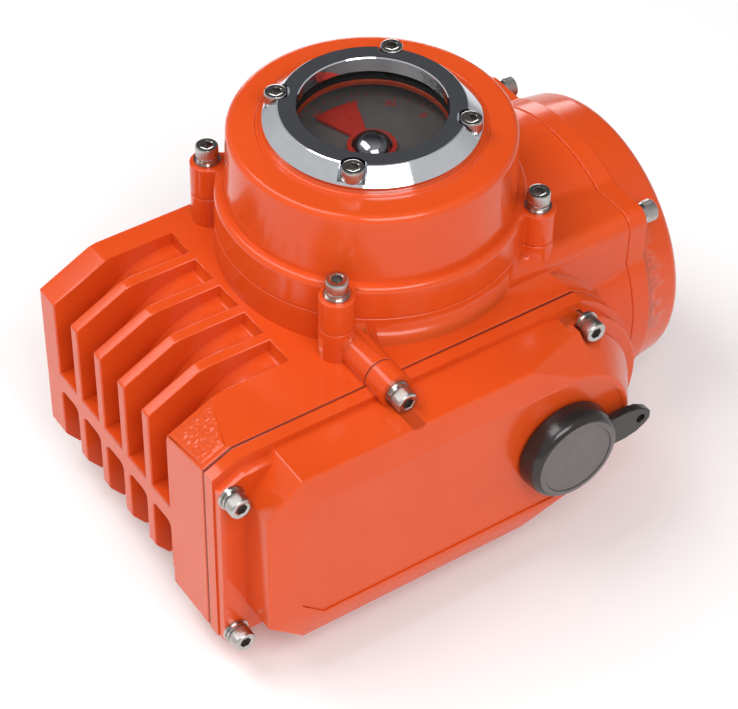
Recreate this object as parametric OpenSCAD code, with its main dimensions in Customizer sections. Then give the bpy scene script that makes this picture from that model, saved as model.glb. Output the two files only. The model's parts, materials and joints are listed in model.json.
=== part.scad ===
// Quarter-turn electric valve actuator: finned cast housing, worm drive,
// position switches under a round top cover, wiring space under a round end cover.
// Origin: centre of the valve mounting face, on the output axis. +Z up,
// +X towards the end cover, -Y towards the gear cover. Millimetres.

/* [Housing] */
// Height of the motor and worm axes above the mounting face
axis_z = 62.5; // [60:0.5:70]
// Half height of the finned body and of the gear block
body_half = 43; // [40:0.5:46]
// Output axis to the finned end face
body_left = 110.5; // [105:0.5:135]
// Output axis to the back face
body_back = 53.5; // [51:0.5:60]
// Output axis to the gear cover parting face
gear_face = 63; // [60:0.5:76]
// Output axis to the end cover parting face
end_face = 82; // [78:0.5:98]
// Wall of the castings
wall = 5; // [3:0.5:6]

/* [Motor] */
// Output axis to the motor axis
motor_offset = 62; // [60:0.5:74]
// Radius of the motor stator
stator_r = 33.3; // [28:0.1:34]
// Wall of the casting round the stator
motor_wall = 4.6; // [3:0.1:6]
// Length of the stator stack
stator_len = 48; // [30:1:58]

/* [Cooling fins] */
// Number of slots between the fins
slot_count = 5; // [3:1:5]
// Distance from one fin to the next
fin_pitch = 17.05; // [14:0.05:18]
// Clear width of a slot
slot_w = 12.3; // [8:0.1:13]
// Where the slots end, from the output axis
slot_end = 60; // [58:0.5:64]
// Half height of the web across the fin ends
web_half = 4.3; // [3:0.1:6]
// Middle of the web below the motor axis
web_drop = 7.5; // [0:0.5:12]

/* [Top cover] */
// Radius of the parting flange
cover_r = 57.5; // [55:0.5:60]
// Radius of the cover wall
cover_wall_r = 52.5; // [51:0.5:54]
// Height of the parting flange on the cover
cover_flange_h = 14; // [10:0.5:18]
// Height of the cover above its parting face
cover_h = 42; // [38:0.5:52]
// Radius of the bolt circle of the cover screws
cover_bolt_r = 61.2; // [61:0.1:64]
// Height of the collar above the body top
collar_h = 13; // [11:0.5:18]

/* [Window] */
// Outer radius of the bezel
bezel_r = 39.4; // [38:0.1:41]
// Inner radius of the bezel
window_r = 27.3; // [24:0.1:28]
// Height of the bezel
bezel_h = 8.2; // [7:0.1:10]
// Radius of the bolt circle of the bezel screws
bezel_bolt_r = 35.2; // [35:0.1:36]
// Thickness of the glass
glass_t = 2.7; // [2.2:0.1:3.4]

/* [End cover] */
// Radius of the barrel at the parting face
barrel_r = 58.5; // [56:0.5:60]
// Taper of the barrel over its length
barrel_taper = 3; // [1:0.5:5]
// Length of the end cover
end_len = 26; // [20:0.5:34]
// Thickness of its screw flange
end_flange_t = 8.3; // [6:0.1:10]

/* [Gear cover] */
// Thickness of the flange of the gear cover
gear_flange_t = 10.5; // [8:0.5:14]
// Height of the raised platform above the parting face
platform_h = 28; // [27:0.5:36]
// Half height of the raised platform
platform_half = 40.5; // [38:0.5:41]
// Width of the bevel round the platform
bevel_w = 10; // [6:0.5:12]

/* [Gears] */
// Module of all gears
gear_m = 1; // [1:1:1]
// Teeth of each large spur gear
big_teeth = 44; // [44:2:44]
// Teeth of the cluster pinions
small_teeth = 14; // [14:2:14]
// Teeth of the motor pinion
pinion_teeth = 12; // [12:2:12]
// Teeth of the worm wheel
wheel_teeth = 36; // [36:4:36]
// Pitch radius of the worm
worm_r = 6; // [6:1:6]
// Face width of the spur gears
gear_w = 6; // [4:0.5:7]
// Face width of the worm wheel
wheel_w = 10; // [6:0.5:12]

/* [Valve connection] */
// Radius of the mounting pedestal
pedestal_r = 45; // [43:0.5:50]
// Bolt circle of the four large tapped holes
large_pcd = 70; // [68:1:72]
// Radius of the large tapped holes (M8 core)
large_hole_r = 3.4; // [2.5:0.1:3.6]
// Bolt circle of the four small tapped holes
small_pcd = 50; // [50:1:52]
// Radius of the small tapped holes (M6 core)
small_hole_r = 2.5; // [2:0.1:2.6]
// Square drive socket across its flats
drive_af = 14.2; // [9:0.1:17]
// Depth of the drive socket
drive_depth = 22; // [16:1:28]
// Radius of the output shaft in its lower bush
shaft_r = 16; // [14:0.5:16.5]

/* [Hand drive] */
// Hexagon of the hand drive across its flats
hand_af = 8; // [6:0.5:8]
// Outer radius of the rubber cap
cap_r = 19.5; // [17:0.5:21]
// Height of the rubber cap
cap_h = 10; // [9:0.5:14]

/* [Cable glands] */
// Radius of the cable way
cable_r = 5.2; // [4:0.1:6]
// Distance between the two glands
gland_gap = 34; // [30:1:40]

/* [Fits] */
// Radial running clearance of shafts
run = 0.05; // [0.02:0.01:0.1]
// Clearance of screws in their holes
screw_gap = 0.05; // [0.02:0.01:0.2]
// Clearance between parts that sit in a recess
seat_gap = 0.1; // [0.05:0.05:0.2]

/* [Hidden] */
$fn = 64;

orange = "#E8602C";
steel = "#C9CBCE";
dark = "#2E2A2B";
bronze = "#B98B45";
eps = 0.01;

// Heights of the parting faces
body_top = axis_z + body_half;
cover_z = body_top + collar_h;
cover_top = cover_z + cover_h;
floor_z = 100;

// M5 socket screws, their washers and bosses
m5_r = 2.45;
m5_head_r = 4.25;
m5_head_h = 5;
m5_key_r = 2.31;
flat_t = 1;
flat_r = 5;
spring_t = 1.4;
spring_r = 4.4;
lug_r = 6.6;
lug_web = 5.8;
washers_h = flat_t + spring_t;
lug_at = cover_bolt_r / sqrt(2);
bezel_at = bezel_bolt_r / sqrt(2);
seat_z = cover_z + cover_flange_h;
corners = [[1, 1], [-1, 1], [-1, -1], [1, -1]];

// Gear cover screws, as X and height above the axes
left_col = body_left - 4.8;
hand_x = 24;
round_r = 48;
gear_bolts = [[-left_col, body_half - 11.5], [-left_col, 4.5 - body_half],
  [-38.2, body_half + 2.3], [44.3, body_half - 6.8], [44.3, 6.8 - body_half]];
gear_seat_y = gear_face + gear_flange_t;
platform_y = gear_face + platform_h;

// End cover outline and screws, as Y and Z
end_z = axis_z + 1;
square_half = 51;
shelf_z = body_top + 8;
end_bolts = [[44.5, shelf_z - 6.5], [-44.5, shelf_z - 6.5], [32, 10.5], [-32, 10.5]];
end_seat_x = end_face + end_flange_t;

// Gear train along X, all on the height of the axes
small_r = gear_m * small_teeth / 2;
big_r = gear_m * big_teeth / 2;
pinion_r = gear_m * pinion_teeth / 2;
first_x = -motor_offset + pinion_r + big_r;
second_x = first_x + small_r + big_r;
worm_x = second_x + small_r + big_r;
axle_r = 4;
plate_y = 52;
plate_t = 4;
level_1 = 55;
level_step = 8;
level_2 = level_1 + level_step;
level_3 = level_2 + level_step;
chamber_y = plate_y - plate_t;
wheel_r = worm_x - worm_r;
worm_lead = PI * gear_m;
lead_angle = atan(worm_lead / (2 * PI * worm_r));
shaft_end_y = platform_y + 5.5;

// Motor along Y, with its front winding held off the end bell
winding_len = 8;
bearing_w = 7;
winding_gap = 3;
stator_front = winding_gap + winding_len + bearing_w - chamber_y;
stator_back = stator_front + stator_len;
bearing_r = 11;
rotor_shaft_r = 5;
pinion_bore = 3;
motor_step_y = 49;
rear_bearing_y = 36;
air_gap = 0.4;
rotor_r = 18;

// Worm bore and bearings
worm_bore = 10.6;
worm_bearing_w = 5;
worm_rear_y = 34;
worm_neck_r = 5;

// Radius of the rooms for the switches and for the wiring
upper_room_r = 45;

// Output shaft levels
socket_r = 19;
neck_r = 12.5;
wheel_low = axis_z - wheel_w / 2;
wheel_high = axis_z + wheel_w / 2;
room_r = 24;
room_low = 30;
room_high = 90;
bush_r = 15.5;
spindle_r = 5;

// Places directions: a shape drawn upwards in Z is laid along -Y or +X
module along_front(y) translate([0, -y, 0]) rotate([90, 0, 0]) children();
module along_x(x) translate([x, 0, 0]) rotate([90, 0, 90]) children();

module ring(outer, inner, h) {
  difference() {
    cylinder(r = outer, h = h);
    translate([0, 0, -1]) cylinder(r = inner, h = h + 2);
  }
}

// Hexagon socket screw; z = 0 is the underside of its head
module socket_screw(length, shank = m5_r, head = m5_head_r, head_h = m5_head_h, key = m5_key_r) {
  difference() {
    union() {
      rotate_extrude() polygon([[0, 0], [head, 0], [head, head_h - 0.5],
        [head - 0.5, head_h], [0, head_h]]);
      translate([0, 0, -length]) cylinder(r = shank, h = length + eps);
    }
    translate([0, 0, head_h - 2.6]) cylinder(r = key, h = 3, $fn = 6);
  }
}

module spring_washer() {
  difference() {
    ring(spring_r, m5_r + 0.2, spring_t);
    rotate([0, 0, 20]) translate([0, -0.35, -1]) cube([10, 0.7, spring_t + 2]);
  }
}

// Puts children on each M5 screw seat of the three covers
module at_top_seats() for (c = corners)
  translate([c[0] * lug_at, c[1] * lug_at, seat_z]) children();
module at_gear_seats() for (b = gear_bolts)
  translate([b[0], -gear_seat_y, axis_z + b[1]]) rotate([90, 0, 0]) children();
module at_end_seats() for (b = end_bolts)
  translate([end_seat_x, b[0], b[1]]) rotate([0, 90, 0]) children();

// Spur gear with straight-flanked teeth, a tooth on +X when phase is 0
module spur(teeth, width, bore, phase = 0, hub = 0) {
  pitch = gear_m * teeth / 2;
  root = pitch - 1.25 * gear_m;
  tip = pitch + 0.9 * gear_m;
  difference() {
    linear_extrude(width) union() {
      circle(r = root);
      for (i = [0:teeth - 1]) rotate(phase + i * 360 / teeth)
        polygon([[root - 0.4, -0.85], [pitch, -0.55], [tip, -0.25],
          [tip, 0.25], [pitch, 0.55], [root - 0.4, 0.85]]);
    }
    translate([0, 0, -1]) cylinder(r = bore, h = width + 2);
    if (hub > 0) for (i = [0:4]) rotate([0, 0, i * 72])
      translate([(root + hub) / 2, 0, -1]) cylinder(r = (root - hub) / 3, h = width + 2);
  }
}

// ---- castings ----

// Outline of the gear block, drawn about the axes; inset shrinks it
module gear_outline(inset = 0) {
  polygon([[inset - body_left, inset - body_half], [hand_x, inset - body_half],
    [hand_x, body_half - inset], [11 + inset - body_left, body_half - inset],
    [inset - body_left, body_half - 5 - inset]]);
  intersection() {
    translate([hand_x, 0]) circle(r = round_r - inset);
    translate([0, inset - body_half]) square([200, 2 * (body_half - inset)]);
  }
}

// Bosses round the screws inside the chamber, and the one that stands above the body
module gear_lobes(r) for (b = gear_bolts) translate([b[0], b[1]]) circle(r = r);
module top_lobe(inset = 0) translate([gear_bolts[2][0], gear_bolts[2][1]]) circle(r = lug_r - inset);
block_back = 38.5;

// Square part of the end cover flange in Y and Z, with rounded top corners
end_corner_r = 6.5;
module end_square(low = 20) {
  translate([-square_half, low]) square([2 * square_half, shelf_z - end_corner_r - low]);
  translate([end_corner_r - square_half, low])
    square([2 * (square_half - end_corner_r), shelf_z - low]);
  for (s = [-1, 1]) translate([s * end_bolts[0][0], end_bolts[0][1]]) circle(r = end_corner_r);
}

// Its lower corners, which taper in to the two lower screws
module end_foot() {
  for (s = [-1, 1]) translate([s * end_bolts[2][0], end_bolts[2][1]]) circle(r = end_corner_r);
  polygon([[-square_half, 21], [-37.5, 6.8], [0, 20], [37.5, 6.8], [square_half, 21],
    [square_half, 30], [-square_half, 30]]);
}

module end_outline() {
  translate([0, end_z]) circle(r = barrel_r);
  end_square();
  end_foot();
}

module lug_shape() for (c = corners) {
  translate([c[0] * lug_at, c[1] * lug_at]) circle(r = lug_r);
  rotate(atan2(c[1], c[0])) translate([40, -lug_web]) square([cover_bolt_r - 40, 2 * lug_web]);
}

// One slot in Y and Z, open upwards, or downwards with rounded corners
slot_round = 2.5;
module upper_slot() translate([0, axis_z - web_drop + web_half]) square([slot_w, 2 * body_half]);
module lower_slot() translate([slot_w / 2, axis_z - web_drop - web_half - slot_round])
  polygon(concat([[slot_w / 2, -body_half]],
    [for (a = [0:30:90]) [slot_w / 2 - slot_round, 0] + slot_round * [cos(a), sin(a)]],
    [for (a = [90:30:180]) [slot_round - slot_w / 2, 0] + slot_round * [cos(a), sin(a)]],
    [[-slot_w / 2, -body_half]]));

// Slots between the fins, above and below the web, down to the motor shell
module fin_slots() {
  slot_1 = body_back - 10.9 - slot_w;
  difference() {
    for (i = [0:slot_count - 1]) translate([0, slot_1 - i * fin_pitch, 0])
      along_x(-body_left - 1) linear_extrude(body_left + 1 - slot_end) {
        upper_slot();
        lower_slot();
      }
    translate([-motor_offset, body_back, axis_z]) rotate([90, 0, 0])
      cylinder(r = stator_r + motor_wall, h = 2 * body_back + 20);
  }
}

// Side outline of the finned part in X and Z: sloped shoulder, chamfered foot
module fin_profile() translate([0, axis_z]) polygon([[-body_left, 8 - body_half],
  [6 - body_left, -body_half], [-40, -body_half], [-40, body_half],
  [-86, body_half], [-89.5, body_half - 0.7], [-body_left, body_half - 11.3]]);

module housing_solid() {
  translate([0, body_back, 0]) rotate([90, 0, 0])
    linear_extrude(body_back + block_back + 1) fin_profile();
  along_front(block_back) translate([0, axis_z, 0])
    linear_extrude(gear_face - block_back) {
      gear_outline();
      top_lobe();
    }
  translate([-slot_end, -square_half, axis_z - body_half])
    cube([slot_end + 55, square_half + body_back, 2 * body_half]);
  along_x(20) linear_extrude(end_face - 20) end_square(30);
  along_x(62) linear_extrude(end_face - 62) end_foot();
  along_x(50) translate([0, end_z, 0])
    cylinder(r1 = barrel_r - 3, r2 = barrel_r, h = end_face - 50);
  translate([0, 0, body_top - 1]) cylinder(r = cover_r, h = collar_h + 1);
  translate([0, 0, body_top - 1]) linear_extrude(collar_h + 1) lug_shape();
  cylinder(r = pedestal_r, h = axis_z - body_half + 5);
}

// Hollows of the housing: motor bay, gear chamber, worm bore, wheel room, switch and wiring rooms
module housing_hollows() {
  translate([-motor_offset, rear_bearing_y, axis_z]) rotate([90, 0, 0])
    cylinder(r = stator_r + seat_gap, h = rear_bearing_y + plate_y);
  translate([-motor_offset, rear_bearing_y + bearing_w + 2, axis_z]) rotate([90, 0, 0])
    cylinder(r = bearing_r + eps, h = 20);
  along_front(chamber_y) translate([0, axis_z, 0]) linear_extrude(gear_face)
    difference() {
      gear_outline(wall);
      gear_lobes(lug_r);
    }
  translate([worm_x, worm_rear_y, axis_z]) rotate([90, 0, 0])
    cylinder(r = worm_bore, h = worm_rear_y + plate_y);
  translate([0, 0, room_low]) cylinder(r = room_r, h = room_high - room_low);
  translate([0, 0, -1]) cylinder(r = socket_r, h = room_low + 2);
  translate([0, 0, room_high - 1]) cylinder(r = bush_r, h = floor_z - room_high + 2);
  translate([0, 0, floor_z]) cylinder(r = upper_room_r, h = 60);
  along_x(52) translate([0, end_z, 0]) cylinder(r = upper_room_r, h = 60);
  translate([36, -7, floor_z + 1]) cube([24, 14, 6]);
  translate([0, 0, cover_z]) cylinder(r = cover_r + 0.8, h = 20);
}

module valve_holes() for (a = [45:90:315]) rotate([0, 0, a]) {
  translate([large_pcd / 2, 0, -1]) cylinder(r = large_hole_r, h = 15);
  translate([small_pcd / 2, 0, -1]) cylinder(r = small_hole_r, h = 13);
}

gland_x = 66;
gland_z = axis_z - 12;
gland_y = 52;
gland_face = 62;
module at_glands() for (s = [-0.5, 0.5])
  translate([gland_x, 0, gland_z + s * gland_gap]) rotate([-90, 0, 0]) children();

module main_housing() color(orange) difference() {
  union() {
    difference() {
      housing_solid();
      fin_slots();
      // sloped corner of the gear block
      hull() {
        translate([0, -38.4, axis_z]) rotate([90, 0, 0]) linear_extrude(0.01)
          polygon([[-91, body_half], [-91, 80], [-140, 80], [-140, body_half - 9.5],
            [-body_left, body_half - 9.5]]);
        translate([0, -gear_face - 1, axis_z]) rotate([90, 0, 0]) linear_extrude(0.01)
          polygon([[-99.5, body_half], [-99.5, 80], [-140, 80], [-140, body_half - 5],
            [-body_left, body_half - 5]]);
      }
    }
    at_glands() translate([0, 0, 46]) cylinder(r = 13.5, h = gland_face - 46);
  }
  housing_hollows();
  valve_holes();
  at_glands() translate([0, 0, 30]) cylinder(r = 9 + screw_gap, h = 40);
  // screw holes of the three covers and of the gear plate
  at_top_seats() translate([0, 0, -26]) cylinder(r = m5_r + screw_gap, h = 40);
  at_gear_seats() translate([0, 0, -26]) cylinder(r = m5_r + screw_gap, h = 40);
  at_end_seats() translate([0, 0, -22]) cylinder(r = m5_r + screw_gap, h = 40);
  // seal grooves
  translate([0, 0, cover_z - 1.5]) ring(52.6, 49.4, 3);
  along_x(end_face - 1.5) translate([0, end_z, 0]) ring(54.6, 51.4, 3);
  at_gear_plate_screws() translate([0, 0, -10]) cylinder(r = 2, h = 20);
  translate([earth_x, -earth_y, floor_z - 8]) cylinder(r = 1.95, h = 12);
}
earth_x = 12;
earth_y = 38;

// Inside radius of the top cover
cover_room_r = 48;

module top_cover() color(orange) difference() {
  union() {
    translate([0, 0, cover_z]) rotate_extrude() polygon(concat([[0, 0], [cover_r, 0],
      [cover_r - 0.3, cover_flange_h - 2.6]],
      [for (a = [15:15:75]) [cover_r - 2.9 + 2.6 * cos(a), cover_flange_h - 2.6 + 2.6 * sin(a)]],
      [[cover_r - 2.9, cover_flange_h], [cover_wall_r + 1.2, cover_flange_h],
      [cover_wall_r + 0.9, cover_flange_h + 1], [cover_wall_r, cover_h - 3]],
      [for (a = [15:15:75]) [cover_wall_r - 3 + 3 * cos(a), cover_h - 3 + 3 * sin(a)]],
      [[cover_wall_r - 3, cover_h], [0, cover_h]]));
    translate([0, 0, cover_z]) linear_extrude(cover_flange_h) lug_shape();
  }
  translate([0, 0, cover_z - 1]) cylinder(r = cover_room_r, h = cover_h - wall + 1);
  translate([0, 0, cover_top - 12]) cylinder(r = window_r + 0.7, h = 20);
  translate([0, 0, cover_top - glass_seat]) cylinder(r = glass_r + seat_gap, h = 10);
  at_top_seats() translate([0, 0, -26]) cylinder(r = m5_r + 0.3, h = 40);
  translate([0, 0, cover_top - 0.5]) ring(bezel_r + 2.4, bezel_r + 1.2, 2);
  at_bezel_screws() translate([0, 0, -20]) cylinder(r = m5_r + screw_gap, h = 30);
}

// Bezel, glass and seal
glass_r = 32.5;
glass_seat = 2.6;
seal_t = 1.1;
glass_up = glass_t + seal_t - glass_seat;
bezel_seat = cover_top + 3.3;
module at_bezel_screws() for (c = corners)
  translate([c[0] * bezel_at, c[1] * bezel_at, bezel_seat]) children();

module bezel_ring() color("#D8DADF") difference() {
  translate([0, 0, cover_top]) rotate_extrude() polygon([[window_r + 1, glass_up], [glass_r + 0.4, glass_up],
    [glass_r + 0.4, 0], [bezel_r, 0], [bezel_r, 2.6], [bezel_r - 5.4, bezel_h - 0.3],
    [bezel_r - 5.8, bezel_h], [window_r, bezel_h], [window_r - 0.3, bezel_h - 0.4]]);
  at_bezel_screws() translate([0, 0, -20]) cylinder(r = m5_r + screw_gap, h = 30);
  for (c = corners) rotate([0, 0, atan2(c[1], c[0])])
    translate([bezel_bolt_r, 0, bezel_seat]) linear_extrude(20) {
      circle(r = 5.1);
      translate([0, -5.1]) square([20, 10.2]);
    }
}

module window_glass() color("#DDE6EA", 0.35)
  translate([0, 0, cover_top - glass_seat + seal_t]) cylinder(r = glass_r, h = glass_t);

module window_seal() color(dark)
  translate([0, 0, cover_top - glass_seat]) ring(glass_r, window_r + 1.2, seal_t);

module bezel_screws() color(steel) at_bezel_screws() socket_screw(10);

// Depth of the lip along the lower edge of the gear cover's flange
flange_lip = 4.2;

module gear_cover() color(orange) difference() {
  union() {
    along_front(gear_face + gasket_t) translate([0, axis_z, 0]) {
      linear_extrude(gear_flange_t - gasket_t - flange_lip) {
        gear_outline();
        top_lobe();
      }
      linear_extrude(gear_flange_t - gasket_t) {
        translate([0, -flange_lip]) intersection() {
          gear_outline();
          translate([0, flange_lip]) gear_outline(0.6);
        }
        top_lobe();
      }
    }
    platform_solid(0);
  }
  platform_solid(wall);
  along_front(gear_face - 1) translate([0, axis_z, 0]) linear_extrude(gear_flange_t - wall)
    difference() {
      gear_outline(wall);
      gear_lobes(lug_r);
    }
  at_gear_seats() {
    cylinder(r = m5_head_r + 1.5, h = 30);
    translate([0, 0, -30]) cylinder(r = m5_r + 0.3, h = 40);
  }
  // shallow recessed panel
  along_front(platform_y - 0.6) translate([0, axis_z, 0]) linear_extrude(2)
    platform_outline(bevel_w + 2.2);
  translate([hand_x, -platform_y + 12, axis_z]) rotate([90, 0, 0]) cylinder(r = 8, h = 20);
}
gasket_t = 0.8;

// Outline of the platform about the axes: chamfered left corners, round right end
module platform_outline(inset) {
  h = platform_half - inset;
  x0 = 10.2 + inset - body_left;
  c = max(14 - inset * 0.4, 6);
  polygon([[hand_x, -h], [hand_x, h], [x0 + c, h], [x0, h - 0.9 * c],
    [x0, 0.9 * c - h], [x0 + c, -h]]);
  translate([hand_x, 0]) circle(r = h, $fn = 48);
}

// Raised platform: bevelled round its edge, falling away at its round end
module platform_solid(t) {
  low = t > 0 ? gear_face - 1 : gear_face + gasket_t;
  edge = platform_h - 3 - t;
  hull() {
    along_front(low) translate([0, axis_z, 0]) linear_extrude(1) platform_outline(t);
    along_front(platform_y - t - 1) translate([0, axis_z, 0]) linear_extrude(1)
      platform_outline(bevel_w + t * 0.6);
    along_front(gear_face + 1) translate([0, axis_z, 0]) linear_extrude(edge - 1) intersection() {
      platform_outline(t);
      translate([-200, -100]) square([200 + hand_x - 14, 200]);
    }
    along_front(gear_face + 1) translate([0, axis_z, 0]) linear_extrude(edge - 11)
      platform_outline(t);
  }
}

module gear_cover_gasket() color(dark) difference() {
  along_front(gear_face) translate([0, axis_z, 0]) linear_extrude(gasket_t) difference() {
    union() {
      gear_outline(0.3);
      top_lobe(0.3);
    }
    difference() {
      gear_outline(wall);
      gear_lobes(lug_r);
    }
  }
  at_gear_seats() translate([0, 0, -30]) cylinder(r = m5_r + 0.3, h = 40);
}

module end_cover() color(orange) difference() {
  union() {
    along_x(end_face) linear_extrude(end_flange_t) end_outline();
    along_x(end_face) translate([0, end_z, 0]) rotate_extrude() polygon(concat(
      [[0, 0], [barrel_r, 0], [barrel_r - barrel_taper, end_len - 5]],
      [for (a = [15:15:75]) [barrel_r - barrel_taper - 5 + 5 * cos(a), end_len - 5 + 5 * sin(a)]],
      [[barrel_r - barrel_taper - 5, end_len], [0, end_len]]));
  }
  along_x(end_face - 1) translate([0, end_z, 0]) cylinder(r = 49.5, h = end_len - wall + 1);
  at_end_seats() {
    cylinder(r = m5_head_r + 1.2, h = 12);
    translate([0, 0, -30]) cylinder(r = m5_r + 0.3, h = 40);
  }
}

module top_cover_seal() color(dark)
  translate([0, 0, cover_z - 1.5]) ring(52.4, 49.6, 1.5);

module end_cover_seal() color(dark)
  along_x(end_face - 1.5) translate([0, end_z, 0]) ring(54.4, 51.6, 1.5);

// ---- cover screws ----

module top_cover_screws() color(steel) at_top_seats()
  translate([0, 0, washers_h]) socket_screw(25);
module gear_cover_screws() color(steel) at_gear_seats()
  translate([0, 0, washers_h]) socket_screw(25);
module end_cover_screws() color(steel) at_end_seats()
  translate([0, 0, washers_h]) socket_screw(22);
module at_all_seats() {
  at_top_seats() children();
  at_gear_seats() children();
  at_end_seats() children();
}
module flat_washers() color(steel) at_all_seats() ring(flat_r, m5_r + 0.2, flat_t);
module spring_washers() color(steel) at_all_seats()
  translate([0, 0, flat_t]) spring_washer();

// ---- motor ----

module at_motor(y) translate([-motor_offset, y, axis_z]) rotate([90, 0, 0]) children();

module motor_stator() color("#8E9299") at_motor(stator_back) difference() {
  cylinder(r = stator_r, h = stator_len);
  translate([0, 0, -1]) cylinder(r = rotor_r + air_gap, h = stator_len + 2);
  for (a = [0:30:330]) rotate([0, 0, a]) translate([rotor_r + 5, -1.6, -1])
    cube([7, 3.2, stator_len + 2]);
}

module motor_windings() color("#B5673A")
  for (y = [stator_back + winding_len, stator_front]) at_motor(y) rotate_extrude()
    polygon([[22.5, 0.5], [24, 0], [29.5, 0], [31, 1.5], [31, winding_len - 1.5],
      [29.5, winding_len], [24, winding_len], [22.5, winding_len - 0.5]]);

module motor_end_bell() color("#B9BCC1") at_motor(-chamber_y + bearing_w) difference() {
  cylinder(r = stator_r, h = bearing_w);
  translate([0, 0, -1]) cylinder(r = bearing_r + eps, h = bearing_w + 2);
  for (a = [0:60:300]) rotate([0, 0, a]) translate([22, 0, -1])
    cylinder(r = 5, h = bearing_w + 2);
}

module motor_rotor() color("#8A8D92") {
  at_motor(stator_back) difference() {
    cylinder(r = rotor_r, h = stator_len);
    for (a = [0:24:336]) rotate([0, 0, a]) translate([rotor_r, 0, -1])
      cylinder(r = 0.8, h = stator_len + 2, $fn = 24);
  }
  at_motor(rear_bearing_y + bearing_w + 1) cylinder(r = rotor_shaft_r, h = rear_bearing_y + bearing_w + 1 + 50);
  at_motor(-motor_step_y) cylinder(r = pinion_bore, h = level_1 + gear_w + 2 - motor_step_y);
}

module motor_bearings() color(steel)
  for (y = [rear_bearing_y + bearing_w, -chamber_y + bearing_w]) at_motor(y)
    ring(bearing_r, rotor_shaft_r + run, bearing_w);

module motor_pinion() color(steel) at_motor(-level_1 + 1)
  spur(pinion_teeth, gear_w + 2, pinion_bore + eps);

// ---- spur gears ----

plate_screws = [[-92, 22], [-92, -22], [40, 24], [40, -24]];
module at_gear_plate_screws() for (p = plate_screws)
  translate([p[0], -plate_y, axis_z + p[1]]) rotate([90, 0, 0]) children();

module gear_plate() color("#AEB2B8") difference() {
  along_front(chamber_y) translate([0, axis_z, 0]) linear_extrude(plate_t) difference() {
    translate([-99, -28]) square([148, 56]);
    translate([-motor_offset, 0]) circle(r = 8);
    translate([first_x, 0]) circle(r = axle_r + eps);
    translate([second_x, 0]) circle(r = axle_r + eps);
    translate([worm_x, 0]) circle(r = 8);
  }
  at_gear_plate_screws() translate([0, 0, -10]) cylinder(r = 2.2, h = 20);
}

module gear_plate_screws() color(steel) at_gear_plate_screws()
  socket_screw(10, 1.95, 3.5, 3, 1.5);

module gear_axles() color(steel) {
  along_front(chamber_y) translate([first_x, axis_z, 0]) difference() {
    cylinder(r = axle_r, h = level_2 + gear_w + 4 - chamber_y);
    translate([0, 0, level_2 + gear_w + 1.5 - chamber_y]) ring(5, 3, 1);
  }
  along_front(chamber_y) translate([second_x, axis_z, 0]) difference() {
    cylinder(r = axle_r, h = level_3 + gear_w + 4 - chamber_y);
    translate([0, 0, level_3 + gear_w + 1.5 - chamber_y]) ring(5, 3, 1);
  }
}

module axle_clips() color(dark) {
  along_front(level_2 + gear_w + 1.55) translate([first_x, axis_z, 0]) clip_ring();
  along_front(level_3 + gear_w + 1.55) translate([second_x, axis_z, 0]) clip_ring();
}
module clip_ring() difference() {
  ring(6.5, 3.05, 0.9);
  translate([0, -2.6, -1]) cube([10, 5.2, 3]);
}

half_pitch = 180 / big_teeth;
module first_cluster_gear() color("#C7A45A") translate([first_x, 0, axis_z]) rotate([90, 0, 0]) {
  translate([0, 0, level_1]) spur(big_teeth, gear_w, axle_r + run, half_pitch, 9);
  translate([0, 0, level_1 + gear_w - eps]) ring(5.75, axle_r + run, level_2 - level_1 - gear_w + 2 * eps);
  translate([0, 0, level_2]) spur(small_teeth, gear_w + 1, axle_r + run);
}
module second_cluster_gear() color("#C7A45A") translate([second_x, 0, axis_z]) rotate([90, 0, 0]) {
  translate([0, 0, level_1]) ring(axle_r + 1.2, axle_r + run, level_2 - level_1 + eps);
  translate([0, 0, level_2]) spur(big_teeth, gear_w, axle_r + run, half_pitch, 9);
  translate([0, 0, level_2 + gear_w - eps]) ring(5.75, axle_r + run, level_3 - level_2 - gear_w + 2 * eps);
  translate([0, 0, level_3]) spur(small_teeth, gear_w + 1, axle_r + run);
}

// ---- worm ----

module worm_spur_gear() color("#C7A45A") translate([worm_x, 0, axis_z]) rotate([90, 0, 0])
  translate([0, 0, level_3]) difference() {
    spur(big_teeth, gear_w, worm_neck_r + eps, half_pitch, 9);
    translate([worm_neck_r - 1, -1.5, -1]) cube([3, 3, gear_w + 2]);
  }

thread_half = 14;
thread_turns = 2 * thread_half / worm_lead;
module worm_shaft() color(steel) translate([worm_x, 0, axis_z]) rotate([90, 0, 0]) {
  translate([0, 0, 1 - worm_rear_y]) cylinder(r = worm_neck_r, h = worm_rear_y - 1 - thread_half);
  translate([0, 0, 0.5 - worm_rear_y]) cylinder(r = worm_neck_r + 1, h = worm_bearing_w);
  // thread: an off-centre disc swept along the axis
  translate([0, 0, -thread_half]) rotate([0, 0, 180 - 180 * thread_turns])
    linear_extrude(2 * thread_half, twist = -360 * thread_turns, slices = 16 * thread_turns, $fn = 20)
      translate([1.05, 0]) circle(r = worm_r - 0.1);
  translate([0, 0, thread_half]) cylinder(r = worm_neck_r, h = platform_y - thread_half);
  translate([0, 0, chamber_y - 9]) cylinder(r = worm_neck_r + 1, h = worm_bearing_w);
  translate([0, 0, platform_y - eps]) rotate([0, 0, 30])
    cylinder(r = hand_af / sqrt(3), h = shaft_end_y - platform_y, $fn = 6);
  translate([worm_neck_r - 1, -1.45, level_3]) cube([1.9, 2.9, gear_w]);
}

module worm_bearings() color(steel) translate([worm_x, 0, axis_z]) rotate([90, 0, 0]) {
  translate([0, 0, 0.5 - worm_rear_y]) ring(worm_bore - eps, worm_neck_r + 1 + run, worm_bearing_w);
  translate([0, 0, chamber_y - 9]) ring(worm_bore - eps, worm_neck_r + 1 + run, worm_bearing_w);
}

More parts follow.
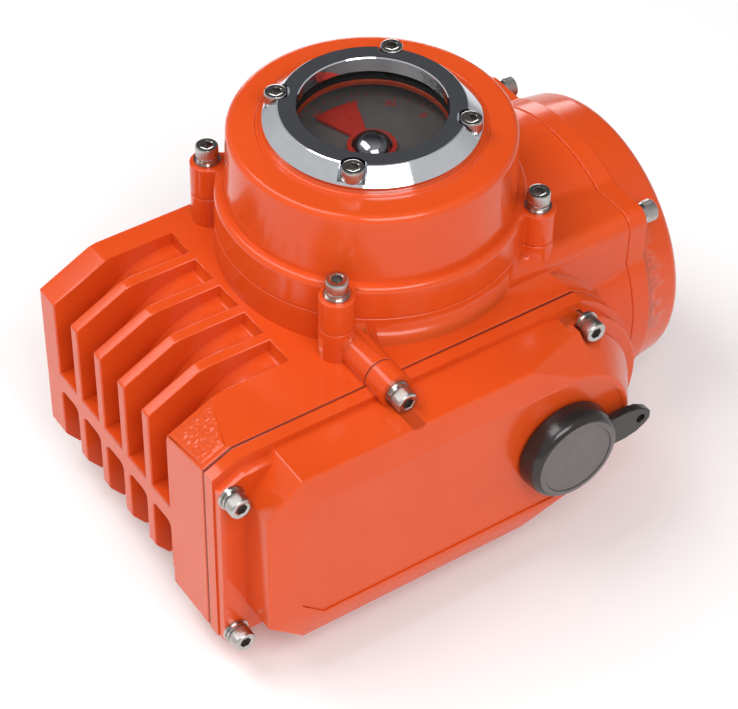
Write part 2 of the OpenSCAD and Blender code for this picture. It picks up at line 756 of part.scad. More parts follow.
module worm_seal() color(dark) translate([hand_x, -platform_y + 6.5, axis_z]) rotate([90, 0, 0])
  ring(8 - eps, worm_neck_r + run, 5);

// ---- output ----

module worm_wheel() color(bronze) difference() {
  translate([0, 0, wheel_low]) union() {
    cylinder(r = wheel_r - 1.3, h = wheel_w);
    intersection() {
      for (i = [0:wheel_teeth - 1]) rotate([0, 0, (i + 0.5) * 360 / wheel_teeth])
        translate([0, 0, wheel_w / 2]) rotate([-lead_angle, 0, 0])
          translate([0, 0, -wheel_w]) linear_extrude(2 * wheel_w)
            polygon([[wheel_r - 2, -0.85], [wheel_r - 1.3, -0.78], [wheel_r + 0.85, -0.3],
              [wheel_r + 0.85, 0.3], [wheel_r - 1.3, 0.78], [wheel_r - 2, 0.85]]);
      cylinder(r = wheel_r + 3, h = wheel_w);
    }
  }
  translate([0, 0, wheel_low - 1]) cylinder(r = neck_r + eps, h = wheel_w + 2);
  translate([-neck_r - 1.8, -2.5 - eps, wheel_low - 1]) cube([6, 5 + 2 * eps, wheel_w + 2]);
}

module output_shaft() color(steel) difference() {
  union() {
    translate([0, 0, 0.5]) cylinder(r = shaft_r, h = wheel_low - 0.5);
    translate([0, 0, 1]) cylinder(r = neck_r, h = floor_z + 0.5);
  }
  translate([-drive_af / 2, -drive_af / 2, -1]) cube([drive_af, drive_af, drive_depth + 1]);
  translate([-neck_r - eps, -2.5 - eps, wheel_low]) cube([2.5, 5 + 2 * eps, wheel_w]);
  translate([0, 0, 84]) cylinder(r = spindle_r + eps, h = 30);
  translate([0, 0, floor_z - 1.4]) ring(neck_r + 1, neck_r - 1, 1.1);
}

module drive_key() color("#7D8187")
  translate([-neck_r - 1.75, -2.5, wheel_low + eps]) cube([4.2, 5, wheel_w - 2 * eps]);

module lower_bush() color(bronze) translate([0, 0, 5])
  ring(socket_r - eps, shaft_r + run, room_low - 5);
module output_seal() color(dark) translate([0, 0, 0.6])
  ring(socket_r - eps, shaft_r + run, 4.3);
module upper_bush() color(bronze) translate([0, 0, room_high - 1.5])
  ring(bush_r - eps, neck_r + run, floor_z - room_high - 0.2);
module shaft_circlip() color(dark) translate([0, 0, floor_z - 1.35]) difference() {
  ring(14.6, neck_r - 0.95, 1);
  translate([0, -4, -1]) cube([20, 8, 3]);
}

// ---- position switches and indicator ----

dial_z = cover_top - 13;
cam_z = [floor_z + 12, floor_z + 21];
cam_t = 5;
switch_y = 22;
module cam_shaft() color(steel) difference() {
  translate([0, 0, 84 + eps]) cylinder(r = spindle_r, h = dial_z + 3.5 - 84 - eps);
  translate([0, 0, dial_z - 4]) cylinder(r = 1.6, h = 20);
}

// Cam disc with one raised sector; from and to are angles from +X
module cam(z, from, to) translate([0, 0, z]) difference() {
  union() {
    cylinder(r = 12, h = cam_t);
    rotate([0, 0, from]) rotate_extrude(angle = to - from)
      translate([10, 0]) square([4.6, cam_t]);
    translate([0, 0, -2]) cylinder(r = 8.5, h = cam_t + 2);
  }
  translate([0, 0, -5]) cylinder(r = spindle_r + eps, h = 20);
}
module open_cam() color("#C23B2E") cam(cam_z[1], 20, 60);
module close_cam() color("#2F6E9E") cam(cam_z[0], 120, 160);

module switch_bracket() color("#AEB2B8") difference() {
  union() {
    translate([-18, switch_y + 2, floor_z]) cube([36, 13, 2]);
    translate([-18, switch_y + 13, floor_z]) cube([36, 2, 30]);
  }
  for (x = [-13, 13]) translate([x, switch_y + 7, floor_z - 1]) cylinder(r = 1.6, h = 5);
}
module switch_body(z) translate([-10, switch_y, z - 0.7]) difference() {
  cube([20, 13, 6.4]);
  translate([10, -1, 3.2]) rotate([-90, 0, 0]) cylinder(r = 1.5 + run, h = 7);
  for (x = [5.2, 14.8]) translate([x, 9, -1]) cylinder(r = 1.1, h = 9);
}
module open_switch() color(dark) switch_body(cam_z[1]);
module close_switch() color(dark) switch_body(cam_z[0]);
module plunger(z) translate([0, switch_y - 4.6, z + 2.5]) rotate([-90, 0, 0])
  union() {
    cylinder(r = 1.5, h = 8);
    cylinder(r = 2.2, h = 1.2);
  }
module open_plunger() color("#E9E6DE") plunger(cam_z[1]);
module close_plunger() color("#E9E6DE") plunger(cam_z[0]);

post_r = 2;
post_at = 30;
post_angles = [-90, 30, 150];
module dial_posts() color(steel) for (a = post_angles) rotate([0, 0, a])
  translate([post_at, 0, floor_z]) cylinder(r = post_r, h = dial_z - floor_z);
module dial_plate() color("#4A4A4E") difference() {
  translate([0, 0, dial_z]) cylinder(r = 36, h = 1.2);
  translate([0, 0, dial_z - 1]) cylinder(r = spindle_r + 0.5, h = 5);
}
module pointer() color("#D6342A") difference() {
  translate([0, 0, dial_z + 1.8]) union() {
    cylinder(r = 9, h = 1.2);
    rotate([0, 0, 70]) rotate_extrude(angle = 40) square([25, 1.2]);
    rotate([0, 0, 250]) rotate_extrude(angle = 40) square([25, 1.2]);
  }
  translate([0, 0, dial_z]) cylinder(r = spindle_r + eps, h = 6);
}
module pointer_nut() color(steel) translate([0, 0, dial_z + 3.5]) {
  intersection() {
    translate([0, 0, -5.2]) sphere(r = 9);
    cylinder(r = 7.4, h = 10);
  }
  translate([0, 0, -7]) cylinder(r = 1.55, h = 8);
}

// ---- wiring space ----

block_x = 54;
term_n = 8;
term_pitch = 7.6;
module at_terminals() for (i = [0:term_n - 1], s = [0, 1])
  translate([block_x + 16, (i - (term_n - 1) / 2) * term_pitch, axis_z + 8 + s * 9]) children();
module terminal_block() color("#EDEAE2") difference() {
  translate([52, -term_n * term_pitch / 2 - 1, axis_z + 2]) cube([18, term_n * term_pitch + 2, 21]);
  at_terminals() rotate([0, 90, 0]) translate([0, 0, -6]) cylinder(r = 2.2, h = 10);
}
module terminal_screws() color(steel) at_terminals() rotate([0, 90, 0]) translate([0, 0, -2.2])
  difference() {
    union() {
      cylinder(r = 2, h = 1.6);
      translate([0, 0, -3.6]) cylinder(r = 1.2, h = 4);
    }
    translate([-3, -0.3, 0.9]) cube([6, 0.6, 2]);
  }
cap_z = axis_z - 20;
module motor_capacitor() color("#D9DCE0") translate([88, -24, cap_z]) rotate([-90, 0, 0])
  cylinder(r = 12, h = 46);
module capacitor_clip() color("#AEB2B8") difference() {
  union() {
    translate([88, -6, cap_z]) rotate([-90, 0, 0]) cylinder(r = 13.2, h = 12);
    translate([52, -6, cap_z - 2]) cube([24, 12, 4]);
  }
  translate([88, -30, cap_z]) rotate([-90, 0, 0]) cylinder(r = 12 + eps, h = 60);
  translate([92, -30, cap_z - 6]) cube([20, 60, 12]);
}
module earth_screw() color(bronze) translate([earth_x, -earth_y, floor_z]) socket_screw(6, 1.9, 3.5, 2.5, 1.4);

module gland_bodies() color("#3A3A3E") at_glands() difference() {
  union() {
    translate([0, 0, 48]) cylinder(r = 9, h = 24);
    translate([0, 0, gland_face]) cylinder(r = 12.7, h = 5, $fn = 6);
  }
  translate([0, 0, 40]) cylinder(r = cable_r, h = 60);
}
module gland_seals() color(dark) at_glands() translate([0, 0, 72]) ring(8.6, cable_r + 0.1, 4);
module gland_nuts() color("#3A3A3E") at_glands() difference() {
  union() {
    translate([0, 0, gland_face + 5.3]) cylinder(r = 12, h = 8, $fn = 12);
    translate([0, 0, gland_face + 13.3]) cylinder(r1 = 11, r2 = 8.5, h = 4.5);
  }
  translate([0, 0, gland_face]) cylinder(r = 9 + screw_gap, h = 14);
  translate([0, 0, gland_face + 10]) cylinder(r = cable_r + 0.4, h = 20);
}

module rubber_cap() color(dark) translate([hand_x, -platform_y, axis_z]) rotate([90, 0, 0])
  difference() {
    union() {
      rotate_extrude() polygon(concat([[0, 0.3], [cap_r, 0.3], [cap_r, 2.8]],
        [for (a = [10:20:70]) [cap_r - 4 + 3.6 * cos(a), cap_h - 4.6 + 4.6 * sin(a)]],
        [[cap_r - 4.2, cap_h], [0, cap_h]]));
      translate([cap_r - 3, -7, 2.6]) cube([10, 14, 3.4]);
      translate([26.5, 0, 2.6]) linear_extrude(3.4)
        polygon([[-1, -7], [4, -6], [8.5, -3.4], [10, -1.6], [10, 1.6], [8.5, 3.4], [4, 6], [-1, 7]]);
    }
    translate([0, 0, -1]) cylinder(r = cap_r - 5, h = cap_h - 2);
    translate([32, 0, 0]) cylinder(r = 1.8, h = 20);
  }

main_housing();
top_cover();
gear_cover();
end_cover();
top_cover_seal();
gear_cover_gasket();
end_cover_seal();
bezel_ring();
window_glass();
window_seal();
bezel_screws();
top_cover_screws();
gear_cover_screws();
end_cover_screws();
flat_washers();
spring_washers();
motor_stator();
motor_windings();
motor_end_bell();
motor_rotor();
motor_bearings();
motor_pinion();
gear_plate();
gear_plate_screws();
gear_axles();
axle_clips();
first_cluster_gear();
second_cluster_gear();
worm_shaft();
worm_spur_gear();
worm_bearings();
worm_seal();
worm_wheel();
output_shaft();
drive_key();
lower_bush();
upper_bush();
output_seal();
shaft_circlip();
cam_shaft();
open_cam();
close_cam();
switch_bracket();
open_switch();
close_switch();
open_plunger();
close_plunger();
dial_posts();
dial_plate();
pointer();
pointer_nut();
terminal_block();
terminal_screws();
motor_capacitor();
capacitor_clip();
gland_bodies();
gland_seals();
gland_nuts();
rubber_cap();
earth_screw();
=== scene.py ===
"""Looks of a quarter-turn electric valve actuator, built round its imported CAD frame."""
import json
import math

import bmesh
import bpy
from mathutils import Matrix, Vector, noise


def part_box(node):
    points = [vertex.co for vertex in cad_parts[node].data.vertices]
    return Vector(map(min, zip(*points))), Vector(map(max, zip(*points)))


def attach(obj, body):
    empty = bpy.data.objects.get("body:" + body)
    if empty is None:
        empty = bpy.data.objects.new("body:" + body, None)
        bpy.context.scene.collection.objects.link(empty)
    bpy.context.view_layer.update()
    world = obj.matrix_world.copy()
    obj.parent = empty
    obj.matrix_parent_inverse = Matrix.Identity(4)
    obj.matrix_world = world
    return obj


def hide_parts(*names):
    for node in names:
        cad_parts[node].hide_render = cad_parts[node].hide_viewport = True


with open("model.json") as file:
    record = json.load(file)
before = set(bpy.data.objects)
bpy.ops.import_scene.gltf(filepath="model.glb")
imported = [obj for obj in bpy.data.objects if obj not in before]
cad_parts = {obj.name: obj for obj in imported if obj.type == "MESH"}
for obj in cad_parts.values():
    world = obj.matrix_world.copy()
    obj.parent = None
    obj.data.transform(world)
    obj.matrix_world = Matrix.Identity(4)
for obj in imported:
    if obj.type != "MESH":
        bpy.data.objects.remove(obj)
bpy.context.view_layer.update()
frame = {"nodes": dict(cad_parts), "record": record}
NODES = frame["nodes"]
MM = 0.001
WELD = 2e-6

# The camera looks at a point on the output axis, at the height of the dial
AIM = Vector((0, 0, 157.5)) * MM
AZIMUTH, ELEVATION, ROLL = -34.651, 43.961, 1.257
OFF_RIGHT, OFF_UP, DISTANCE = -1.19 * MM, -80.25 * MM, 890.98 * MM
LENS, SENSOR = 122.11, 36.0


def add_camera():
    turn, lift, roll = (math.radians(a) for a in (AZIMUTH, ELEVATION, ROLL))
    back = Vector((math.sin(turn) * math.cos(lift), -math.cos(turn) * math.cos(lift), math.sin(lift)))
    level = Vector((math.cos(turn), math.sin(turn), 0))
    right = level * math.cos(roll) + back.cross(level) * math.sin(roll)
    up = back.cross(right)
    camera = bpy.data.objects.new("camera", bpy.data.cameras.new("camera"))
    camera.data.lens, camera.data.sensor_width = LENS, SENSOR
    camera.data.clip_start, camera.data.clip_end = 0.05, 20
    place = AIM + right * OFF_RIGHT + up * OFF_UP + back * DISTANCE
    camera.matrix_world = Matrix.Translation(place) @ Matrix((right, up, back)).transposed().to_4x4()
    bpy.context.scene.collection.objects.link(camera)
    bpy.context.scene.camera = camera


def add_light(name, place, size, watts, aim=(0, 0, 0.08), colour=(1, 1, 1)):
    lamp = bpy.data.lights.new(name, "AREA")
    lamp.shape, lamp.size, lamp.size_y = "RECTANGLE", size[0], size[1]
    lamp.energy, lamp.color = watts, colour
    holder = bpy.data.objects.new(name, lamp)
    holder.location = place
    holder.rotation_mode = "QUATERNION"
    holder.rotation_quaternion = (Vector(aim) - Vector(place)).to_track_quat("-Z", "Y")
    bpy.context.scene.collection.objects.link(holder)


def add_studio():
    """White studio with a darker back, which keeps the chrome and the window from washing out."""
    world = bpy.data.worlds.new("studio")
    world.use_nodes = True
    tree = world.node_tree
    sky = tree.nodes["Background"]
    sky.inputs["Strength"].default_value = 1.0
    way = tree.nodes.new("ShaderNodeTexCoord").outputs["Generated"]
    toward = tree.nodes.new("ShaderNodeVectorMath")
    toward.operation = "DOT_PRODUCT"
    toward.inputs[1].default_value = (0.47, 0.58, 0.66)
    tree.links.new(way, toward.inputs[0])
    ramp = tree.nodes.new("ShaderNodeValToRGB")
    ramp.color_ramp.elements[0].position, ramp.color_ramp.elements[0].color = 0.45, (0.60, 0.60, 0.60, 1)
    ramp.color_ramp.elements[1].position, ramp.color_ramp.elements[1].color = 0.93, (0.08, 0.08, 0.085, 1)
    tree.links.new(toward.outputs["Value"], ramp.inputs["Fac"])
    tree.links.new(ramp.outputs["Color"], sky.inputs["Color"])
    bpy.context.scene.world = world
    bpy.context.scene.view_settings.view_transform = "Standard"
    add_light("overhead", (-0.56, 0.42, 1.2), (0.55, 1.25), 11, aim=(-0.56, 0.42, 0))
    add_light("front", (-0.25, -0.95, 1.15), (0.9, 0.6), 12)
    add_light("rear fill", (0.7, 1.4, 0.45), (0.9, 0.5), 6)
    shape = bmesh.new()
    bmesh.ops.create_grid(shape, x_segments=2, y_segments=2, size=4)
    floor = finish_piece(shape, "floor", floor_paper())


# ---- node trees ----

class Look:
    """One node-based finish: a Principled shader and the patterns that feed it, on Object coordinates."""

    def __init__(self, name, colour, roughness, metallic=0.0, **sockets):
        self.made = bpy.data.materials.new(name)
        self.made.use_nodes = True
        self.tree = self.made.node_tree
        self.shader = self.tree.nodes["Principled BSDF"]
        self.colour = (*colour, 1.0)
        self.shader.inputs["Base Color"].default_value = self.colour
        self.shader.inputs["Roughness"].default_value = roughness
        self.shader.inputs["Metallic"].default_value = metallic
        for socket, value in sockets.items():
            self.shader.inputs[socket.replace("_", " ")].default_value = value
        self.place = self.tree.nodes.new("ShaderNodeTexCoord").outputs["Object"]

    def link(self, start, end):
        self.tree.links.new(start, end)

    def noise(self, size, detail=3.0, stretch=(1, 1, 1)):
        """A noise whose features are about size metres across."""
        turn = self.tree.nodes.new("ShaderNodeMapping")
        turn.inputs["Scale"].default_value = stretch
        self.link(self.place, turn.inputs["Vector"])
        grain = self.tree.nodes.new("ShaderNodeTexNoise")
        grain.inputs["Scale"].default_value = 1 / size
        grain.inputs["Detail"].default_value = detail
        self.link(turn.outputs["Vector"], grain.inputs["Vector"])
        return grain.outputs["Fac"]

    def spread(self, source, low, high, start=0.3, end=0.7):
        fit = self.tree.nodes.new("ShaderNodeMapRange")
        for socket, value in (("From Min", start), ("From Max", end), ("To Min", low), ("To Max", high)):
            fit.inputs[socket].default_value = value
        self.link(source, fit.inputs["Value"])
        return fit.outputs["Result"]

    def tint(self, source, other, start=0.3, end=0.7):
        """Colour runs from the base colour to the other one as source rises."""
        mix = self.tree.nodes.new("ShaderNodeMix")
        mix.data_type = "RGBA"
        linked = self.shader.inputs["Base Color"].links
        if linked:
            self.link(linked[0].from_socket, mix.inputs["A"])
        else:
            mix.inputs["A"].default_value = self.colour
        mix.inputs["B"].default_value = (*other, 1.0)
        self.link(self.spread(source, 0, 1, start, end), mix.inputs["Factor"])
        self.link(mix.outputs["Result"], self.shader.inputs["Base Color"])
        return self

    def rough(self, source, low, high):
        self.link(self.spread(source, low, high), self.shader.inputs["Roughness"])
        return self

    def bump(self, source, depth, strength=1.0):
        relief = self.tree.nodes.new("ShaderNodeBump")
        relief.inputs["Distance"].default_value = depth
        relief.inputs["Strength"].default_value = strength
        self.link(source, relief.inputs["Height"])
        linked = self.shader.inputs["Normal"].links
        if linked:
            self.link(linked[0].from_socket, relief.inputs["Normal"])
        self.link(relief.outputs["Normal"], self.shader.inputs["Normal"])
        return self


def floor_paper():
    look = Look("floor_paper", (0.94, 0.94, 0.94), 0.9, Specular_IOR_Level=0.0)
    return look.tint(look.noise(0.3), (0.90, 0.90, 0.90)).made


def powder_coat(name, colour, shade):
    look = Look(name, colour, 0.17, Specular_IOR_Level=0.36)
    peel = look.noise(0.0024, 2)
    look.tint(look.noise(0.03, 4), shade)
    look.rough(look.noise(0.012), 0.14, 0.22)
    return look.bump(peel, 0.00003, 0.3).made


def metal(name, colour, low, high, size=0.0006, stretch=(1, 1, 1), tarnish=0.9):
    look = Look(name, colour, low, 1.0)
    scratches = look.noise(size, 4, stretch)
    look.tint(look.noise(0.004), tuple(c * tarnish for c in colour))
    look.rough(scratches, low, high)
    return look.bump(scratches, 0.00001, 0.3).made


def plastic(name, colour, roughness, size=0.0005, depth=0.00002, shade=0.85):
    look = Look(name, colour, roughness)
    grain = look.noise(size, 3)
    look.tint(look.noise(0.01), tuple(c * shade for c in colour))
    look.rough(look.noise(0.003), roughness * 0.9, min(roughness * 1.15, 1))
    return look.bump(grain, depth, 0.5).made


def window_glass():
    look = Look("window_glass", (0.012, 0.013, 0.013), 0.03, 0.0, IOR=1.5)
    facing = look.tree.nodes.new("ShaderNodeLayerWeight")
    facing.inputs["Blend"].default_value = 0.4
    look.link(look.spread(facing.outputs["Fresnel"], 0.03, 0.5, 0, 1), look.shader.inputs["Alpha"])
    look.rough(look.noise(0.008), 0.01, 0.04)
    return look.made


PAINT = powder_coat("powder_coat", (0.665, 0.074, 0.011), (0.63, 0.066, 0.009))
# The gasket between gear cover and housing is painted over, and its dark orange also paints in the shade of
# the parting line
GASKET_PAINT_SEAM_SHADE = plastic("gasket_paint_seam_shade", (0.17, 0.016, 0.004), 0.6)
CHROME = metal("polished_chrome", (0.78, 0.80, 0.84), 0.03, 0.08, 0.003, tarnish=0.95)
STAINLESS = metal("stainless_steel", (0.50, 0.48, 0.46), 0.14, 0.26, 0.0012)
MACHINED = metal("machined_steel", (0.45, 0.46, 0.48), 0.28, 0.45)
BRONZE = metal("machined_bronze", (0.55, 0.34, 0.12), 0.25, 0.42)
COPPER = metal("enamelled_copper", (0.55, 0.20, 0.08), 0.25, 0.40, 0.0012, (1, 6, 1))
LAMINATION = metal("stacked_lamination", (0.20, 0.21, 0.23), 0.40, 0.60, 0.0008, (0.2, 12, 0.2))
SATIN_ALUMINIUM = metal("satin_aluminium", (0.66, 0.67, 0.69), 0.30, 0.45)
CAP_RUBBER = plastic("moulded_rubber", (0.020, 0.016, 0.015), 0.20, 0.0009, 0.000003, 0.8)
# The cap's matt front face: the same rubber, in a lighter grey that paints in the light falling on that
# face
CAP_FACE_PAINTED_LIGHT = plastic("matt_rubber_painted_light", (0.135, 0.115, 0.112), 0.55, 0.0005, 0.000006, 0.93)
SEAL_RUBBER = plastic("seal_rubber", (0.02, 0.02, 0.02), 0.65)
DARK_PLASTIC = plastic("dark_plastic", (0.035, 0.035, 0.038), 0.40)
PALE_PLASTIC = plastic("cream_plastic", (0.72, 0.68, 0.58), 0.35)
DIAL_SHEET = plastic("dial_sheet", (0.24, 0.22, 0.215), 0.38)
RED_PLASTIC = plastic("red_plastic", (0.95, 0.06, 0.035), 0.30)
BLUE_PLASTIC = plastic("blue_plastic", (0.03, 0.12, 0.35), 0.30)
GLASS = window_glass()

BY_SLOT = {
    "powder_coat": PAINT, "chrome": CHROME, "stainless": STAINLESS, "steel": MACHINED,
    "black_rubber": CAP_RUBBER, "seal_rubber": SEAL_RUBBER, "glass": GLASS, "bronze": BRONZE,
    "copper": COPPER, "lamination": LAMINATION, "aluminium": SATIN_ALUMINIUM,
    "dark_plastic": DARK_PLASTIC, "pale_plastic": PALE_PLASTIC, "dial": DIAL_SHEET,
    "red_plastic": RED_PLASTIC, "blue_plastic": BLUE_PLASTIC,
}


def finish_piece(shape, name, look, smooth=True, crease=35):
    """Turns a bmesh into an object at the origin, with the finish on it."""
    bmesh.ops.recalc_face_normals(shape, faces=shape.faces)
    mesh = bpy.data.meshes.new(name)
    shape.to_mesh(mesh)
    shape.free()
    if smooth:
        mesh.shade_smooth()
        mesh.set_sharp_from_angle(angle=math.radians(crease))
    mesh.materials.append(look)
    piece = bpy.data.objects.new(name, mesh)
    bpy.context.scene.collection.objects.link(piece)
    return piece


def put_on(piece, body, slot, *stands_for):
    """Rides a piece on its body and hides the nodes that it stands for; the slot is not used."""
    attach(piece, body)
    if stands_for:
        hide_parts(*stands_for)
    return piece


def paint_cad_nodes():
    for part in frame["record"]["subparts"]:
        materials = NODES[part["node"]].data.materials
        materials.clear()
        materials.append(BY_SLOT[part["material_slot"]])
    # The gasket gets the dark orange: paint over it, darkened as painted shade along the seam
    NODES["gear_cover_gasket"].data.materials[0] = GASKET_PAINT_SEAM_SHADE


# ---- castings with rounded edges ----

def merged_copy(node):
    """A node's mesh as a bmesh, its loose triangles joined into flat faces."""
    shape = bmesh.new()
    shape.from_mesh(NODES[node].data)
    bmesh.ops.remove_doubles(shape, verts=shape.verts, dist=WELD)
    bmesh.ops.dissolve_limit(shape, angle_limit=math.radians(0.6), verts=shape.verts, edges=shape.edges)
    return shape


def screw_ends(node):
    """The lowest and highest corner of every screw of a node, in the order of the node's own mesh."""
    shape = merged_copy(node)
    seen, found = set(), []
    for seed in shape.verts:
        if seed in seen:
            continue
        seen.add(seed)
        todo, island = [seed], []
        while todo:
            vert = todo.pop()
            island.append(vert.co.copy())
            near = [v for v in (e.other_vert(vert) for e in vert.link_edges) if v not in seen]
            todo += near
            seen.update(near)
        low = Vector(min(c[i] for c in island) for i in range(3))
        high = Vector(max(c[i] for c in island) for i in range(3))
        found.append((low, high))
    shape.free()
    return found


def round_edges(shape, radius, wanted, segments=3, crease=28):
    """Rounds the outward edges that are sharper than the crease, in degrees, and wanted."""
    limit = math.radians(crease)
    sharp = [e for e in shape.edges
             if len(e.link_faces) == 2 and e.is_convex and e.calc_face_angle(0) > limit and wanted(e)]
    bmesh.ops.bevel(shape, geom=sharp, affect="EDGES", offset=radius, offset_type="OFFSET",
                    segments=segments, profile=0.5, material=-1, clamp_overlap=False, loop_slide=True)


def flatten(piece):
    """Keeps the shading of wide flat faces flat, beside their rounded edges."""
    weigh = piece.modifiers.new("flat_faces", "WEIGHTED_NORMAL")
    weigh.keep_sharp = True


def shallow_step(edge, front=-88 * MM, shallowest=0.2 * MM, deepest=0.75 * MM):
    """Whether an edge belongs to the shallow wall of the recessed panel."""
    for face in edge.link_faces:
        depth = [v.co.y for v in face.verts]
        if max(depth) < front and shallowest < max(depth) - min(depth) < deepest:
            return True
    return False


def on_lip(edge, lip=-69.3 * MM):
    """Whether an edge lies on the gear cover's lip, which is too narrow to round."""
    return all(abs(v.co.y - lip) < 0.1 * MM for v in edge.verts)


def away_from(screws, gap):
    """Says whether an edge is clear of every screw hole by the gap."""
    def clear(edge):
        middle = (edge.verts[0].co + edge.verts[1].co) / 2
        for low, high in screws:
            size = high - low
            along = max(range(3), key=lambda i: size[i])
            off = middle - (low + high) / 2
            off[along] = 0
            if off.length < gap:
                return False
        return True
    return clear


def rounded_casting(node, screws, gap, radius=0.7 * MM):
    shape = merged_copy(node)
    clear = away_from(screws, gap)
    round_edges(shape, radius, lambda e: clear(e) and not shallow_step(e) and not on_lip(e))
    piece = finish_piece(shape, "painted_" + node, PAINT)
    flatten(piece)
    return put_on(piece, "housing", "powder_coat", node)


def turned(rings, steps=96):
    """A closed turned piece along +Z: each ring is radius, height and how its radius follows the angle."""
    shape = bmesh.new()
    verts = bmesh.ops.create_circle(shape, cap_ends=False, segments=steps, radius=1)["verts"]
    loop = shape.edges[:]
    ends = []
    for index, (radius, height, form) in enumerate(rings):
        if index:
            grown = bmesh.ops.extrude_edge_only(shape, edges=loop)["geom"]
            verts = [g for g in grown if isinstance(g, bmesh.types.BMVert)]
            edges = [g for g in grown if isinstance(g, bmesh.types.BMEdge)]
            loop = [e for e in edges if all(v in verts for v in e.verts)]
        for vert in verts:
            angle = math.atan2(vert.co.y, vert.co.x)
            reach = radius * form(angle, steps)
            vert.co = Vector((reach * math.cos(angle), reach * math.sin(angle), height))
        if index in (0, len(rings) - 1):
            ends += loop
    bmesh.ops.holes_fill(shape, edges=ends, sides=0)
    return shape


def round_form(angle, steps):
    return 1.0


def hex_form(angle, steps):
    return math.cos(math.pi / 6) / math.cos((angle % (math.pi / 3)) - math.pi / 6)


def knurl_form(angle, steps):
    return 1.0 - 0.04 * (round(angle / (2 * math.pi / steps)) % 2)


def knurled_screws(node, axis, out, head_r, head_h, key_r, shank_r, key_deep):
    """Socket screws with knurled heads, in the places of the node's own screws."""
    whole = bmesh.new()
    for low, high in screw_ends(node):
        middle = (low + high) / 2
        length = (high - low)[axis] - head_h
        rings = [
            (key_r, head_h - key_deep, hex_form), (key_r, head_h - 0.25 * MM, hex_form),
            (key_r + 0.3 * MM, head_h - 0.04 * MM, round_form), (head_r - 0.75 * MM, head_h, round_form),
            (head_r - 0.35 * MM, head_h - 0.12 * MM, round_form),
            (head_r - 0.12 * MM, head_h - 0.42 * MM, round_form),
            (head_r, head_h - 0.6 * MM, knurl_form), (head_r, 0.5 * MM, knurl_form),
            (head_r - 0.15 * MM, 0.2 * MM, round_form), (head_r - 0.4 * MM, 0, round_form),
            (shank_r, 0, round_form), (shank_r, 0.4 * MM - length, round_form),
            (shank_r - 0.4 * MM, -length, round_form)]
        one = turned(rings)
        foot = middle.copy()
        foot[axis] = (high[axis] - head_h) if out > 0 else (low[axis] + head_h)
        aim = Vector((0, 0, 0))
        aim[axis] = out
        turn = Vector((0, 0, 1)).rotation_difference(aim).to_matrix().to_4x4()
        bmesh.ops.transform(one, matrix=Matrix.Translation(foot) @ turn, verts=one.verts)
        mesh = bpy.data.meshes.new("one_screw")
        one.to_mesh(mesh)
        one.free()
        whole.from_mesh(mesh)
        bpy.data.meshes.remove(mesh)
    return put_on(finish_piece(whole, "knurled_" + node, STAINLESS), "housing", "stainless", node)


def hammered_corner():
    """Rough cast skin, left on the sloped corner beside the gear block."""
    corners = [Vector(c) * MM for c in ((-92.6, -40.5, 105.05), (-109.4, -40.5, 96.85),
                                        (-100.4, -61.0, 105.3), (-109.6, -61.0, 101.0))]
    out = (corners[1] - corners[0]).cross(corners[2] - corners[0]).normalized()
    shape = bmesh.new()
    bmesh.ops.create_grid(shape, x_segments=44, y_segments=52, size=0.5)
    for vert in shape.verts:
        u, v = vert.co.x + 0.5, vert.co.y + 0.5
        near, far = corners[0].lerp(corners[1], u), corners[2].lerp(corners[3], u)
        place = near.lerp(far, v)
        rim = min(u, 1 - u, v, 1 - v)
        rough = noise.noise(place * 620) * 0.5 + noise.noise(place * 1250) * 0.3
        lift = -0.5 if rim < 0.001 else min(rim * 12, 1) * (0.26 + 0.62 * rough)
        vert.co = place + out * lift * MM
    bmesh.ops.solidify(shape, geom=shape.faces[:], thickness=0.5 * MM)
    return put_on(finish_piece(shape, "cast_skin_patch", PAINT, crease=80), "housing", "powder_coat")


# ---- pieces of the hand drive and the dial ----

def pull_cap():
    """The rubber cap over the hand drive, with a soft front rim and a matt front face whose lighter grey is
    painted light.
    """
    shape = merged_copy("rubber_cap")
    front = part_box("rubber_cap")[0][1]

    def front_rim(edge):
        return all(v.co.y < front + 0.1 * MM for v in edge.verts)

    def behind_front(edge):
        return edge.verts[0].co.y > front + 3 * MM

    round_edges(shape, 2.4 * MM, front_rim, 7)
    face = max((f for f in shape.faces if f.normal.y < -0.99), key=lambda f: f.calc_area())
    bmesh.ops.inset_region(shape, faces=[face], thickness=0.45 * MM, depth=0)
    bmesh.ops.inset_region(shape, faces=[face], thickness=0.35 * MM, depth=-0.35 * MM)
    # Faces on the cap's front get the lighter grey, which is painted light
    for patch in shape.faces:
        painted_light_face = patch.normal.y < -0.98 and patch.calc_center_median().y < front + 0.5 * MM
        patch.material_index = 1 if painted_light_face else 0
    round_edges(shape, 0.5 * MM, behind_front, 3, 50)
    piece = finish_piece(shape, "moulded_pull_cap", CAP_RUBBER, crease=40)
    piece.data.materials.append(CAP_FACE_PAINTED_LIGHT)
    flatten(piece)
    return put_on(piece, "hand_drive_cap", "black_rubber", "rubber_cap")


# Radius of the ticks' outer ends and of the numbers, and where the numbers start, in degrees
TICK_R, NUMBER_R, DIAL_START = 32.4 * MM, 26.8 * MM, 12
TICKS, TICK_STEP = 72, 5


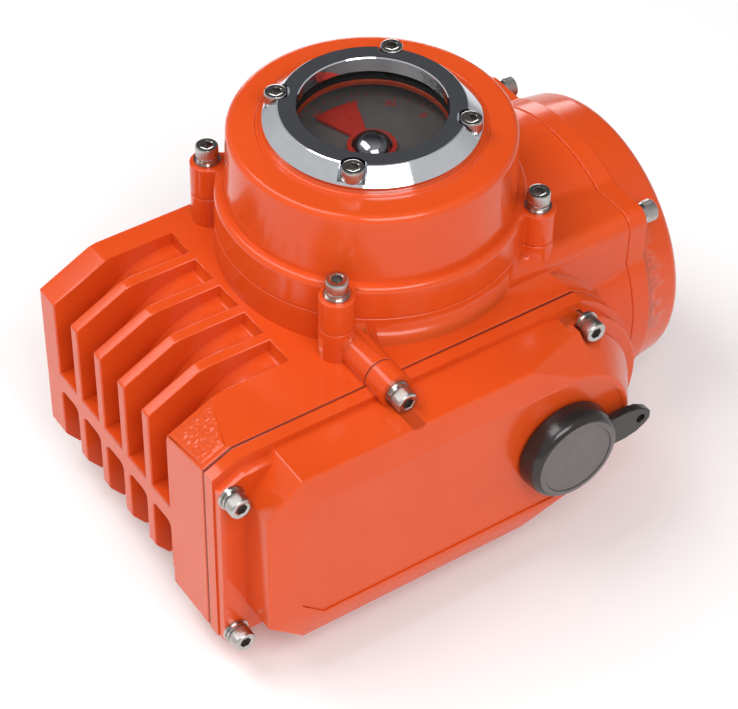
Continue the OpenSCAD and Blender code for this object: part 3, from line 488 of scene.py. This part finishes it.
def dial_marks():
    """Tick marks all round the dial's rim, and degree numbers over the quarter turn."""
    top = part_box("dial_plate")[1][2]
    thick = 0.06 * MM
    shape = bmesh.new()
    for step in range(TICKS):
        size = (2.4 * MM if step % 2 == 0 else 1.3 * MM, 0.32 * MM, thick)
        turn = Matrix.Rotation(math.radians(step * TICK_STEP), 4, "Z")
        shift = Matrix.Translation((TICK_R - size[0] / 2, 0, top + thick / 2))
        place = turn @ shift @ Matrix.Diagonal((*size, 1))
        bmesh.ops.create_cube(shape, size=1, matrix=place)
    put_on(finish_piece(shape, "dial_ticks", RED_PLASTIC, smooth=False), "housing", "red_plastic")
    for degrees in (0, 30, 60, 90):
        words = bpy.data.curves.new("number", "FONT")
        words.body = str(degrees)
        words.size, words.extrude = 4.6 * MM, thick / 2
        words.align_x, words.align_y = "CENTER", "CENTER"
        holder = bpy.data.objects.new("number", words)
        mesh = bpy.data.meshes.new_from_object(holder)
        bpy.data.objects.remove(holder)
        angle = math.radians(degrees + DIAL_START)
        shift = Vector((NUMBER_R * math.cos(angle), NUMBER_R * math.sin(angle), top + thick / 2))
        mesh.transform(Matrix.Translation(shift) @ Matrix.Rotation(angle - math.pi / 2, 4, "Z"))
        shape = bmesh.new()
        shape.from_mesh(mesh)
        bpy.data.meshes.remove(mesh)
        number = finish_piece(shape, "dial_number_%d" % degrees, RED_PLASTIC, smooth=False)
        put_on(number, "housing", "red_plastic")


add_camera()
paint_cad_nodes()
ALL_SCREWS = [ends for node in ("top_cover_screws", "gear_cover_screws", "end_cover_screws", "bezel_screws")
              for ends in screw_ends(node)]
for casting, gap in (("main_housing", 3.4), ("top_cover", 3.4), ("gear_cover", 8.5), ("end_cover", 3.4)):
    rounded_casting(casting, ALL_SCREWS, gap * MM)
# Head radius and height, key radius, shank radius and depth of the key socket
M5 = (4.25 * MM, 5.0 * MM, 2.31 * MM, 2.45 * MM, 3.8 * MM)
knurled_screws("top_cover_screws", 2, 1, *M5)
knurled_screws("gear_cover_screws", 1, -1, *M5)
knurled_screws("end_cover_screws", 0, 1, *M5)
knurled_screws("bezel_screws", 2, 1, *M5)
hammered_corner()
pull_cap()
dial_marks()
add_studio()
